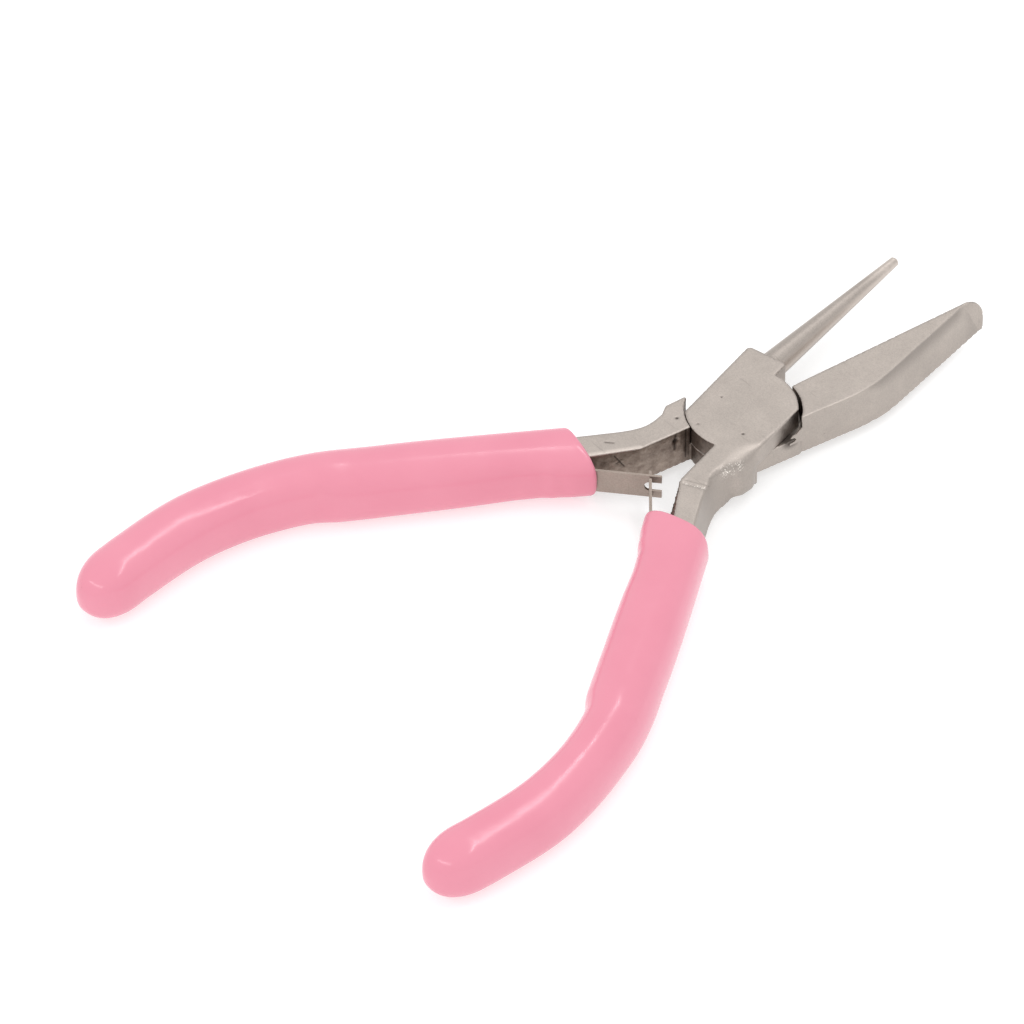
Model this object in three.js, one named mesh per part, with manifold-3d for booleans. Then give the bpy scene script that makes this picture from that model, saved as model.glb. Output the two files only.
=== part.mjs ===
// Small lap-joint jewellery pliers with one round jaw and one flat jaw, two crossed
// leaf springs and dipped vinyl grips, held open by the springs.
// Millimetres. +Z is up, +Y points to the jaws, the origin is on the pivot axis at the
// underside of the joint. Every lever is drawn closed, with its flats along Y, its jaw
// on the +X side and its handle on the -X side, and is then turned open about the pivot.
// The round-jaw lever is the mirrored one: its plate is the upper half of the lap joint.
import * as THREE from 'three';
import { ConvexGeometry } from 'three/addons/geometries/ConvexGeometry.js';
import { mergeVertices } from 'three/addons/utils/BufferGeometryUtils.js';
import Module from 'manifold-3d';

const wasm = await Module();
wasm.setup();

// ---- Driving dimensions ----

// Joint
const THICKNESS = 5.9; // of the steel, underside to top face
const MID = THICKNESS / 2;
const HALF_WIDTH = 5.9; // pivot axis to each flat of the joint
const PLATE_RADIUS = 7.55; // round edge of each half-thickness plate
const POCKET_RADIUS = 7.65; // round wall that the other lever's plate turns in
const JAW_ARC_SHIFT = 0.5; // sideways shift of the plate's round edge on the jaw side
const LAP_GAP = 0.1; // between the two plates
const RIVET_RADIUS = 2.2;
const RIVET_HEAD_RADIUS = 3;
const RIVET_HEAD_DEPTH = 1;
const RIVET_GAP = 0.03;

// How far each lever stands open at rest, in degrees
const FLAT_TURN = 10.75;
const ROUND_TURN = 12.9;
const GRIP_TURN = 10.75;

// Visible handle
const HORN_Y = -5;
const DRAFT = 0.7; // how much wider the outer sides stand at the underside
const DRAFT_START_Y = -8;
const DRAFT_FULL_Y = -12;
const HANDLE_END_X = -3.95;
const HANDLE_END_Y = -24.5; // inside the grip, where the tang carries on
const RELIEF_START = [-0.65, -15.2]; // corner of the handle's inner edge
const RELIEF_WIDTH = 1.4; // taken off the round lever's inner top edge at the handle's end

// Flat jaw
const JAW_ROOT_Y = 4.9;
const JAW_EDGE_X = 5.4; // top outer edge from the root to the bend
const JAW_BEND_Y = 16.3;
const JAW_LOW_EDGE_X = 5.7; // the same at the underside
const JAW_LOW_BEND_Y = 18;
const JAW_INNER_SLOPE = -0.049;
const JAW_INNER_ROOT_X = 0.12;
const JAW_OUTER_SLOPE = -0.362;
const JAW_LENGTH = 37.85;
const JAW_TIP_WIDTH = 0.45;
const NOSE_DEPTH = 2.5; // length of the rounding at the tip
const NOSE_LOW_Z = 2; // height where the tip reaches furthest
const NOSE_PULL = [-0.4, -0.7]; // how far the rounding's middle is pulled in

// Round jaw
const BLOCK_END_Y = 10;
const BLOCK_INNER_X = 0.13;
const BLOCK_CORNER = 0.6;
const CONE_BASE = new THREE.Vector2(3.15, BLOCK_END_Y);
const CONE_TIP = new THREE.Vector2(0.85, 36.9);
const CONE_BASE_RADIUS = 1.88;
const CONE_TIP_RADIUS = 0.66;
const CONE_FLARE_RADIUS = 2.35;
const CONE_FLARE_LENGTH = 1.1;

// Grips
const GRIP_FRONT_Y = -21.35; // at its middle
const GRIP_FRONT_X = -6;
const GRIP_FRONT_LEAN = 0.09; // how far forward the front leans per millimetre outwards
const GRIP_RUN_IN = 4.4; // straight length ahead of the first point, trimmed at the front
const GRIP_DOME = 6.5;
const GRIP_PATH = [
  [-6.05, -22.29], [-11.12, -34.36], [-15.32, -44.59], [-19.7, -55.99],
  [-21.01, -69.61], [-18.92, -80.1], [-18.15, -82.79],
];
const GRIP_HALF_WIDTHS = [3.9, 4.28, 3.97, 4.02]; // evenly spaced along the grip
const GRIP_HALF_DEPTHS = [3.7, 4.42, 4.17];
const GRIP_SQUARENESS = [2.9, 2.5, 2.45, 2.6]; // 2 is an ellipse
const GRIP_DROOP = 0.5; // how much wider the outer side stands at the underside, ahead of the bend
const GRIP_DROOP_FADE = [28, 40];
const GRIP_SWELL_AT = [-2, 0, 2.5, 5, 8, 14, 24, 30.5, 34.5, 41, 52, 64]; // along the grip
const GRIP_SWELL = [1.15, 1.05, 0.7, 0.2, 0.05, 0.2, 0.15, 0.34, -0.22, -0.2, 0.12, 0]; // inner side
const GRIP_SIDES = 40;
const GRIP_RINGS = 44;
const DOME_RINGS = 9;
const CAVITY_GAP = 0.3;
const MOUTH_GAP = 0.15; // round the visible handle at the grip's front

// Tang inside the grip
const TANG_HALF_WIDTH = 2.75;
const TANG_DEPTH = 4.6;
const TANG_LENGTH = 60;
const TANG_START = 0.8;

// Leaf springs
const LEAF_THICKNESS = 0.35;
const LEAF_WIDTH = 3.7;
const FORK = { flex: point(-3.45, -24.16), angle: 50.35 }; // flex: where the blade starts to bend
const TONGUE = { flex: point(-3.35, -24.49), angle: 53 };
const BLADE_SWEEP = 20.5; // degrees that a blade folds towards its handle
const FLEX_GAP = 0.3; // between the blade and its foot
const FOOT_LENGTH = 8;
const FOOT_ANGLE = 67.2;
const FORK_LENGTH = 11.95;
const FORK_SLOT_DEPTH = 2.3;
const FORK_SLOT_HEIGHT = 1.5;
const TONGUE_CROSSING = 10.41; // flex point to the other blade
const TONGUE_SHOULDER = 0.55;
const TONGUE_NECK_HEIGHT = 0.9;
const TONGUE_HEAD_START = 0.95;
const TONGUE_HEAD_HEIGHT = 2.3;
const TONGUE_HEAD_END = 1.6;
const SPRING_RIVET_RADIUS = 0.8;
const SPRING_RIVET_AT = 4.6; // behind the flex point
const SPRING_RIVET_DEPTH = 3.6;
const SPRING_RIVET_GAP = 0.08;

// ---- Materials ----

function steel(name, color) {
  return new THREE.MeshStandardMaterial({ name, color, roughness: 0.42, metalness: 0.9 });
}

function vinyl(name) {
  return new THREE.MeshStandardMaterial({ name, color: 0xf9a3b8, roughness: 0.28, metalness: 0 });
}

// ---- Solids ----

function toSolid(geometry) {
  const bare = geometry.clone();
  bare.deleteAttribute('normal');
  bare.deleteAttribute('uv');
  const merged = mergeVertices(bare, 1e-4);
  return new wasm.Manifold(new wasm.Mesh({
    numProp: 3,
    vertProperties: new Float32Array(merged.attributes.position.array),
    triVerts: new Uint32Array(merged.index.array),
  }));
}

function toMesh(name, solid, material) {
  const result = solid.getMesh();
  const geometry = new THREE.BufferGeometry();
  geometry.setAttribute('position', new THREE.BufferAttribute(result.vertProperties, 3));
  geometry.setIndex(new THREE.BufferAttribute(result.triVerts, 1));
  geometry.computeVertexNormals();
  const mesh = new THREE.Mesh(geometry, material);
  mesh.name = name;
  return mesh;
}

function prism(points, low, high) {
  const depth = high - low;
  const geometry = new THREE.ExtrudeGeometry(new THREE.Shape(points), { depth, bevelEnabled: false });
  return geometry.translate(0, 0, low);
}

// A prism whose underside outline differs from its top outline, point by point.
function draftedPrism(top, underside) {
  const geometry = prism(top, 0, THICKNESS);
  const position = geometry.attributes.position;
  const corner = new THREE.Vector2();
  for (let i = 0; i < position.count; i += 1) {
    if (position.getZ(i) > MID) continue;
    corner.set(position.getX(i), position.getY(i));
    const k = top.findIndex((point) => point.distanceTo(corner) < 1e-4);
    position.setXY(i, underside[k].x, underside[k].y);
  }
  return toSolid(geometry);
}

// An upright round bar on the pivot axis.
function pivotCylinder(radius, low, high, sides = 96) {
  const geometry = new THREE.CylinderGeometry(radius, radius, high - low, sides);
  geometry.rotateX(Math.PI / 2);
  return toSolid(geometry.translate(0, 0, (low + high) / 2));
}

function turned(solid, degrees) {
  return solid.rotate([0, 0, degrees]);
}

function mirrored(solid) {
  return solid.mirror([1, 0, 0]);
}

// ---- Outlines ----

function point(x, y) {
  return new THREE.Vector2(x, y);
}

function arc(centreX, radius, fromX, toX, side, count) {
  const start = Math.acos((fromX - centreX) / radius);
  const end = Math.acos((toX - centreX) / radius);
  return Array.from({ length: count + 1 }, (_, i) => {
    const angle = start + ((end - start) * i) / count;
    return point(centreX + radius * Math.cos(angle), side * radius * Math.sin(angle));
  });
}

// Joint and visible handle, from the jaw's inner root round to the +X flat.
function handleOutline(jawInnerX) {
  const outerCurve = new THREE.SplineCurve([
    point(-4.6, -9.5), point(-4.05, -11.2), point(-3.9, -12.9), point(-4.4, -15.1),
    point(-5.7, -18.4), point(-6.95, -21.4), point(-8.2, HANDLE_END_Y),
  ]);
  return [
    ...arc(JAW_ARC_SHIFT, PLATE_RADIUS, jawInnerX, -HALF_WIDTH, 1, 18),
    point(-HALF_WIDTH + 0.1, HORN_Y),
    point(-5.65, -8.3),
    ...outerCurve.getPoints(24),
    point(HANDLE_END_X, HANDLE_END_Y),
    point(...RELIEF_START),
    ...arc(0, PLATE_RADIUS, -0.7, HALF_WIDTH, -1, 18),
  ];
}

// How far a point on the handle's outer side moves out at the underside.
function handleDraft(corner) {
  const inner = corner.x > -3.85 || corner.y > DRAFT_START_Y;
  if (inner) return 0;
  return -DRAFT * THREE.MathUtils.smoothstep(-corner.y, -DRAFT_START_Y, -DRAFT_FULL_Y);
}

function drafted(outline) {
  return outline.map((corner) => point(corner.x + handleDraft(corner), corner.y));
}

function innerJawX(y) {
  return JAW_INNER_ROOT_X + JAW_INNER_SLOPE * y;
}

// Outer side of the flat jaw, from the joint's flat to the tip.
function jawOuterSide(edgeX, bendY) {
  const tipX = innerJawX(JAW_LENGTH) + JAW_TIP_WIDTH;
  const taperEndY = bendY + (tipX - edgeX) / JAW_OUTER_SLOPE;
  const bend = new THREE.QuadraticBezierCurve(
    point(edgeX + 0.1, bendY - 4),
    point(edgeX + 0.05, bendY),
    point(edgeX + 3 * JAW_OUTER_SLOPE, bendY + 3),
  );
  return [
    point(edgeX, JAW_ROOT_Y + 0.5),
    ...bend.getPoints(6),
    point(tipX, Math.min(taperEndY, JAW_LENGTH)),
    point(tipX, JAW_LENGTH + 1),
  ];
}

// ---- Levers ----

// Side view of the flat jaw's nose: everything behind this outline is kept.
function noseKeeper() {
  const shape = new THREE.Shape();
  const noseTopY = JAW_LENGTH - NOSE_DEPTH;
  shape.moveTo(-60, -1);
  shape.lineTo(JAW_LENGTH - 0.6, -1);
  shape.lineTo(JAW_LENGTH - 0.6, 0);
  shape.quadraticCurveTo(JAW_LENGTH, 0, JAW_LENGTH, 0.6);
  shape.lineTo(JAW_LENGTH, NOSE_LOW_Z);
  const [pullY, pullZ] = NOSE_PULL;
  shape.bezierCurveTo(
    JAW_LENGTH, NOSE_LOW_Z + 1.6,
    JAW_LENGTH + pullY, THICKNESS + pullZ,
    noseTopY, THICKNESS,
  );
  shape.lineTo(noseTopY, THICKNESS + 1);
  shape.lineTo(-60, THICKNESS + 1);
  const geometry = new THREE.ExtrudeGeometry(shape, { depth: 60, bevelEnabled: false, curveSegments: 12 });
  const axes = new THREE.Matrix4().makeBasis(
    new THREE.Vector3(0, 1, 0),
    new THREE.Vector3(0, 0, 1),
    new THREE.Vector3(1, 0, 0),
  );
  geometry.applyMatrix4(axes);
  return toSolid(geometry.translate(-30, 0, 0));
}

function flatJawLeverClosed() {
  const shared = handleOutline(JAW_INNER_ROOT_X + JAW_INNER_SLOPE * 7.5);
  const corner = point(HALF_WIDTH, JAW_ROOT_Y);
  const tip = point(innerJawX(JAW_LENGTH + 1), JAW_LENGTH + 1);
  const top = [...shared, corner, ...jawOuterSide(JAW_EDGE_X, JAW_BEND_Y), tip];
  const lowSide = jawOuterSide(JAW_LOW_EDGE_X, JAW_LOW_BEND_Y);
  const low = [...drafted(shared), corner, ...lowSide, tip];
  const pocket = pivotCylinder(POCKET_RADIUS, MID - LAP_GAP / 2, THICKNESS + 1);
  return draftedPrism(top, low).intersect(noseKeeper()).subtract(pocket);
}

function coneJaw() {
  const axis = new THREE.Vector2().subVectors(CONE_TIP, CONE_BASE);
  const length = axis.length();
  const profile = [
    point(0, -2),
    point(CONE_FLARE_RADIUS, -2),
    point(CONE_FLARE_RADIUS, 0),
    point(CONE_BASE_RADIUS + 0.12, 0.4),
    point(CONE_BASE_RADIUS, CONE_FLARE_LENGTH),
    point(CONE_TIP_RADIUS, length - 0.25),
    point(CONE_TIP_RADIUS - 0.25, length),
    point(0, length),
  ];
  const geometry = new THREE.LatheGeometry(profile, 40);
  geometry.rotateZ(axis.angle() - Math.PI / 2);
  return toSolid(geometry.translate(CONE_BASE.x, CONE_BASE.y, MID));
}

// Wedge that slopes the round lever's inner side back towards its top edge.
function innerRelief() {
  const start = new THREE.Vector3(...RELIEF_START, THICKNESS);
  const low = new THREE.Vector3(HANDLE_END_X, HANDLE_END_Y, MID);
  const high = new THREE.Vector3(HANDLE_END_X - RELIEF_WIDTH, HANDLE_END_Y, THICKNESS);
  const clear = new THREE.Vector3(1, -0.3, 0);
  const up = new THREE.Vector3(0, 0, 1);
  return toSolid(new ConvexGeometry([
    start, low, high,
    high.clone().add(up),
    start.clone().add(up),
    start.clone().add(clear).add(up),
    low.clone().add(clear),
  ]));
}

function roundJawLeverClosed() {
  const shared = handleOutline(BLOCK_INNER_X);
  const corner = arc(HALF_WIDTH - BLOCK_CORNER, BLOCK_CORNER, HALF_WIDTH, HALF_WIDTH - BLOCK_CORNER, 1, 5)
    .map((spot) => point(spot.x, spot.y + BLOCK_END_Y - BLOCK_CORNER));
  const top = [...shared, ...corner, point(BLOCK_INNER_X, BLOCK_END_Y)];
  const low = [...drafted(shared), ...corner, point(BLOCK_INNER_X, BLOCK_END_Y)];
  const pocket = pivotCylinder(POCKET_RADIUS, -1, MID + LAP_GAP / 2);
  return draftedPrism(top, low).subtract(pocket).subtract(innerRelief()).add(coneJaw());
}

// ---- Grips, tangs and springs, in the grip's own closed frame ----

function gripPath() {
  const points = GRIP_PATH.map(([x, y]) => new THREE.Vector3(x, y, MID));
  return new THREE.CatmullRomCurve3(points, false, 'centripetal');
}

// Centre, sideways direction and length along the path; runs straight past both ends.
function pathFrame(path, total, distance) {
  const u = THREE.MathUtils.clamp(distance / total, 0, 1);
  const tangent = path.getTangentAt(u);
  const centre = path.getPointAt(u).addScaledVector(tangent, distance - u * total);
  const inward = new THREE.Vector3(-tangent.y, tangent.x, 0);
  return { centre, inward };
}

function evenly(values, u) {
  const spline = new THREE.SplineCurve(values.map((value, i) => point(i, value)));
  return spline.getPoint(THREE.MathUtils.clamp(u, 0, 1)).y;
}

// How far the grip's inner side stands out at a distance along it.
function gripSwell(distance) {
  const next = GRIP_SWELL_AT.findIndex((at) => at > distance);
  if (next === 0) return GRIP_SWELL[0];
  if (next < 0) return GRIP_SWELL.at(-1);
  const t = THREE.MathUtils.smoothstep(distance, GRIP_SWELL_AT[next - 1], GRIP_SWELL_AT[next]);
  return THREE.MathUtils.lerp(GRIP_SWELL[next - 1], GRIP_SWELL[next], t);
}

function gripDroop(distance) {
  return GRIP_DROOP * (1 - THREE.MathUtils.smoothstep(distance, ...GRIP_DROOP_FADE));
}

function gripBody() {
  const path = gripPath();
  const total = path.getLength();
  const stations = [];
  for (let i = 0; i <= GRIP_RINGS; i += 1) {
    stations.push({ distance: -GRIP_RUN_IN + ((total + GRIP_RUN_IN) * i) / GRIP_RINGS, scale: 1 });
  }
  for (let i = 1; i <= DOME_RINGS; i += 1) {
    const angle = (Math.PI / 2) * (i / DOME_RINGS);
    stations.push({ distance: total + GRIP_DOME * Math.sin(angle), scale: Math.cos(angle) });
  }
  const last = stations.length - 1;
  const profile = stations.map((_, i) => point(i < last ? 1 : 0, i));
  profile.unshift(point(0, 0));
  const geometry = new THREE.LatheGeometry(profile, GRIP_SIDES);
  const position = geometry.attributes.position;
  for (let i = 0; i < position.count; i += 1) {
    const { distance, scale } = stations[Math.round(position.getY(i))];
    const { centre, inward } = pathFrame(path, total, distance);
    const angle = Math.atan2(-position.getZ(i), position.getX(i));
    const ring = Math.hypot(position.getX(i), position.getZ(i));
    const cosine = Math.cos(angle);
    const sine = Math.sin(angle);
    const power = 2 / evenly(GRIP_SQUARENESS, distance / total);
    const round = (value) => Math.sign(value) * Math.abs(value) ** power;
    const swell = gripSwell(distance) * Math.max(cosine, 0) ** 1.5;
    const droop = gripDroop(distance) * Math.max(-cosine, 0) ** 1.5 * (0.5 - 0.5 * sine);
    const side = evenly(GRIP_HALF_WIDTHS, distance / total) * round(cosine) + swell - droop;
    const across = ring * scale * side;
    const up = ring * scale * evenly(GRIP_HALF_DEPTHS, distance / total) * round(sine);
    position.setXYZ(i, centre.x + inward.x * across, centre.y + inward.y * across, centre.z + up);
  }
  return toSolid(geometry);
}

function frontTrim() {
  const frontY = (x) => GRIP_FRONT_Y - GRIP_FRONT_LEAN * (x - GRIP_FRONT_X);
  const ahead = [point(-30, frontY(-30)), point(30, frontY(30)), point(30, 0), point(-30, 0)];
  return toSolid(prism(ahead, -10, 20));
}

// Tang outline along the grip's path; grown by a gap it is the grip's cavity.
function tangOutline(gap) {
  const path = gripPath();
  const total = path.getLength();
  const steps = 20;
  const inner = [];
  const outer = [];
  for (let i = 0; i <= steps; i += 1) {
    const distance = TANG_START - gap + ((TANG_LENGTH - TANG_START + 2 * gap) * i) / steps;
    const { centre, inward } = pathFrame(path, total, distance);
    const taper = 1 - 0.25 * THREE.MathUtils.smoothstep(i, steps - 5, steps);
    const half = TANG_HALF_WIDTH * taper + gap;
    inner.push(point(centre.x + inward.x * half, centre.y + inward.y * half));
    outer.push(point(centre.x - inward.x * half, centre.y - inward.y * half));
  }
  return [...inner, ...outer.reverse()];
}

function tang(gap) {
  return toSolid(prism(tangOutline(gap), MID - TANG_DEPTH / 2 - gap, MID + TANG_DEPTH / 2 + gap));
}

// Sets a shape drawn along +X from a spring's flex point down at that point and angle.
function alongSpring(geometry, spring, angle) {
  geometry.rotateZ(THREE.MathUtils.degToRad(angle));
  return toSolid(geometry.translate(spring.flex.x, spring.flex.y, MID));
}

// A flat strip standing on edge, from one distance to another ahead of the flex point.
function strip(spring, angle, from, to, height, thickness = LEAF_THICKNESS) {
  const geometry = new THREE.BoxGeometry(to - from, thickness, height);
  return alongSpring(geometry.translate((from + to) / 2, 0, 0), spring, angle);
}

// A round bar across a strip, centred at a distance ahead of the flex point.
function crossBar(spring, angle, along, radius, low, high) {
  const geometry = new THREE.CylinderGeometry(radius, radius, high - low, 24);
  return alongSpring(geometry.translate(along, (low + high) / 2, 0), spring, angle);
}

function forkBlade() {
  const slotRadius = FORK_SLOT_HEIGHT / 2;
  const slotEnd = FORK_LENGTH - FORK_SLOT_DEPTH + slotRadius;
  return strip(FORK, FORK.angle, 0, FORK_LENGTH, LEAF_WIDTH)
    .subtract(strip(FORK, FORK.angle, slotEnd, FORK_LENGTH + 1, FORK_SLOT_HEIGHT, 2))
    .subtract(crossBar(FORK, FORK.angle, slotEnd, slotRadius, -1, 1));
}

function tongueBlade() {
  const headStart = TONGUE_CROSSING + TONGUE_HEAD_START;
  const headEnd = TONGUE_CROSSING + TONGUE_HEAD_END;
  return strip(TONGUE, TONGUE.angle, 0, TONGUE_CROSSING - TONGUE_SHOULDER, LEAF_WIDTH)
    .add(strip(TONGUE, TONGUE.angle, 1, headEnd, TONGUE_NECK_HEIGHT))
    .add(strip(TONGUE, TONGUE.angle, headStart, headEnd, TONGUE_HEAD_HEIGHT));
}

// Through the foot and into the tang, flush with the foot.
function springRivet(spring, gap) {
  const face = LEAF_THICKNESS / 2;
  const end = face + SPRING_RIVET_DEPTH + gap;
  return crossBar(spring, FOOT_ANGLE, -SPRING_RIVET_AT, SPRING_RIVET_RADIUS + gap, -face - gap, end);
}

function springFoot(spring) {
  return strip(spring, FOOT_ANGLE, -FOOT_LENGTH, -FLEX_GAP, LEAF_WIDTH)
    .subtract(springRivet(spring, SPRING_RIVET_GAP));
}

// Room for the foot, and for the blade as it folds towards the handle.
function springRoom(spring) {
  const side = LEAF_THICKNESS / 2 + CAVITY_GAP;
  const high = LEAF_WIDTH + 2 * CAVITY_GAP;
  const foot = strip(spring, FOOT_ANGLE, -FOOT_LENGTH - CAVITY_GAP, CAVITY_GAP, high, 2 * side);
  const reach = 6;
  const folded = THREE.MathUtils.degToRad(BLADE_SWEEP);
  const fan = prism([
    point(-side, 0),
    point(0, -side),
    point(reach, -side),
    point(reach * Math.cos(folded), reach * Math.sin(folded) + side),
    point(0, side),
  ], -high / 2, high / 2);
  return alongSpring(fan, spring, spring.angle).add(foot);
}

// The visible handle's end, grown by a gap, as it enters the grip.
function handleMouth(turn) {
  const rear = HANDLE_END_Y - CAVITY_GAP;
  const grown = prism([
    point(-6 - DRAFT - MOUTH_GAP, -19),
    point(-8.2 - DRAFT - MOUTH_GAP, rear),
    point(HANDLE_END_X + MOUTH_GAP, rear),
    point(-2 + MOUTH_GAP, -19),
  ], -MOUTH_GAP, THICKNESS + MOUTH_GAP);
  return turned(toSolid(grown), turn);
}

function gripClosed(spring, handleTurn) {
  return gripBody()
    .subtract(frontTrim())
    .subtract(tang(CAVITY_GAP))
    .subtract(springRoom(spring))
    .subtract(handleMouth(handleTurn));
}

// ---- Assembly ----

function pivotRivet(gap) {
  const countersink = (baseZ, direction) => {
    const wide = RIVET_HEAD_RADIUS + gap;
    const head = new THREE.CylinderGeometry(wide, RIVET_RADIUS + gap, RIVET_HEAD_DEPTH, 96);
    head.rotateX((direction * Math.PI) / 2);
    return toSolid(head.translate(0, 0, baseZ - (direction * RIVET_HEAD_DEPTH) / 2));
  };
  return pivotCylinder(RIVET_RADIUS + gap, 0, THICKNESS)
    .add(countersink(THICKNESS, 1))
    .add(countersink(0, -1));
}

// A tang with the seat for its spring's rivet.
function tangWithSeat(spring) {
  return tang(0).subtract(springRivet(spring, SPRING_RIVET_GAP));
}

function flatJawLever() {
  return turned(flatJawLeverClosed(), -FLAT_TURN)
    .subtract(pivotRivet(RIVET_GAP))
    .add(turned(tangWithSeat(FORK), -GRIP_TURN));
}

// Drawn like the flat-jaw lever and still to be mirrored.
function roundJawLever() {
  return turned(roundJawLeverClosed(), -ROUND_TURN)
    .subtract(pivotRivet(RIVET_GAP))
    .add(turned(tangWithSeat(TONGUE), -GRIP_TURN));
}

function flatSide(solid) {
  return turned(solid, -GRIP_TURN);
}

function roundSide(solid) {
  return mirrored(turned(solid, -GRIP_TURN));
}

function pliers() {
  const lean = GRIP_TURN - ROUND_TURN;
  const group = new THREE.Group();
  group.add(
    toMesh('flat_jaw_lever', flatJawLever(), steel('flat_jaw_steel', 0xbcb2aa)),
    toMesh('round_jaw_lever', mirrored(roundJawLever()), steel('round_jaw_steel', 0xbfb5ad)),
    toMesh('pivot_rivet', pivotRivet(0), steel('rivet_steel', 0xbdb3ab)),
    toMesh('flat_side_grip', flatSide(gripClosed(FORK, 0)), vinyl('flat_side_vinyl')),
    toMesh('round_side_grip', roundSide(gripClosed(TONGUE, lean)), vinyl('round_side_vinyl')),
    toMesh('fork_spring_blade', flatSide(forkBlade()), steel('fork_blade_steel', 0xb5aca4)),
    toMesh('fork_spring_foot', flatSide(springFoot(FORK)), steel('fork_foot_steel', 0xb0a79f)),
    toMesh('fork_spring_rivet', flatSide(springRivet(FORK, 0)), steel('fork_rivet_steel', 0xa9a19a)),
    toMesh('tongue_spring_blade', roundSide(tongueBlade()), steel('tongue_blade_steel', 0xb5aca4)),
    toMesh('tongue_spring_foot', roundSide(springFoot(TONGUE)), steel('tongue_foot_steel', 0xb0a79f)),
    toMesh('tongue_spring_rivet', roundSide(springRivet(TONGUE, 0)), steel('tongue_rivet_steel', 0xa9a19a)),
  );
  return group;
}

export default pliers();
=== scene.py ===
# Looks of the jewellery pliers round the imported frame: two satin steel levers, a joint
# rivet, two crossed leaf springs on their feet and rivets, and two dipped vinyl grips.
# Shapes are worked out in millimetres in the row frame and scaled to metres at the end.
import math

import bmesh
import bpy
import numpy as np
from mathutils import Matrix, Vector, noise
from mathutils.bvhtree import BVHTree
from mathutils.kdtree import KDTree

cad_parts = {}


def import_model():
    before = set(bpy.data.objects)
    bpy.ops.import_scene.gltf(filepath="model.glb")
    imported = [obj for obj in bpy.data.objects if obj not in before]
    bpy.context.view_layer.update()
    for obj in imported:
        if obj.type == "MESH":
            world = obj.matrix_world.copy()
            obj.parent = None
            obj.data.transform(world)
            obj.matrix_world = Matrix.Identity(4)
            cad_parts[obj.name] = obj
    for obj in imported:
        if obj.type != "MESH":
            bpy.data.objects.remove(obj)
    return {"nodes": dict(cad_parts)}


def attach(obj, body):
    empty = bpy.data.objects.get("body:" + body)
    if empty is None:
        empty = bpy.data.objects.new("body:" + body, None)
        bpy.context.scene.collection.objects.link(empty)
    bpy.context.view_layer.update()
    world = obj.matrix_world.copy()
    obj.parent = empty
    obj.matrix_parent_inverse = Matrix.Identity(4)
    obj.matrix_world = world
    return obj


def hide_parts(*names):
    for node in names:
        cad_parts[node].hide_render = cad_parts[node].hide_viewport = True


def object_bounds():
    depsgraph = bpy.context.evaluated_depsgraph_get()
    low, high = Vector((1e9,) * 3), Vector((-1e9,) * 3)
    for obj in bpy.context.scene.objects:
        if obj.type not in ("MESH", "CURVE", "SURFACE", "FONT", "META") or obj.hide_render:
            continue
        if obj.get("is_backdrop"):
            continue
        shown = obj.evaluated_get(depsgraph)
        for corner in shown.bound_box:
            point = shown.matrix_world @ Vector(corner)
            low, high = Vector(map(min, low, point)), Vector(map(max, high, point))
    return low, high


MM = 0.001

# ---- Dimensions, the same as the part's ----
THICKNESS = 5.9
MID = THICKNESS / 2
LEVER_TURN = {"flat": 10.75, "round": 12.9}  # degrees from closed to how it stands open
LEVER_FLIP = {"flat": 1, "round": -1}
GRIP_TURN = 10.75
GRIP_FRONT_Y = -21.35
GRIP_FRONT_LEAN = 0.09  # how far forward the front leans per millimetre outwards
GRIP_FRONT_X = -6
GRIP_DOME = 6.5
GRIP_PATH = [
    (-6.05, -22.29), (-11.12, -34.36), (-15.32, -44.59), (-19.7, -55.99),
    (-21.01, -69.61), (-18.92, -80.1), (-18.15, -82.79),
]
GRIP_HALF_WIDTHS = [3.9, 4.28, 3.97, 4.02]
GRIP_HALF_DEPTHS = [3.7, 4.42, 4.17]
GRIP_SQUARENESS = [2.9, 2.5, 2.45, 2.6]
GRIP_DROOP = 0.5  # how much wider the outer side stands at the underside
GRIP_DROOP_FADE = (28, 40)  # where along the grip the droop ends
SWELL_AT = [-2, 0, 2.5, 5, 8, 14, 24, 30.5, 34.5, 41, 52, 64]  # along the grip
SWELL = [1.15, 1.05, 0.7, 0.2, 0.05, 0.2, 0.15, 0.34, -0.22, -0.2, 0.12, 0]  # inner side
SIDE_POWER = 1.5  # how closely swell and droop keep to the grip's sides
TANG_HALF_WIDTH = 2.75
TANG_HALF_DEPTH = 2.3
TANG_LENGTH = 60

# ---- Grip mesh ----
PATH_STEPS = 60  # points of a smooth curve between two given ones
PROFILE_STEPS = 40
HALVINGS = 40
FRONT_SEARCH = (-9.0, 12.0)  # the front plane crosses the skin between these distances
SIDES = 72
RINGS = 130
DOME_RINGS = 22
DOME_POWER = 2.4  # above 2 the dome is blunter from the side than a true round
DOME_ROOT = 2.2
LIP = 0.55
LIP_STEPS = 5
WALL = 1.05
CAVITY_RINGS = 26
CAVITY_SQUARENESS = 8
CAVITY_CLOSES = (10, 16)  # where the open mouth narrows to the tang
TANG_ROOM = 0.35
TANG_END_ROOM = 0.6
COLLAR_HEIGHT = 0.1  # the skin stands this much higher round the bend
COLLAR_RISE = (28.5, 31.5)
COLLAR_FALL = (32.5, 35.5)

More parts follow.
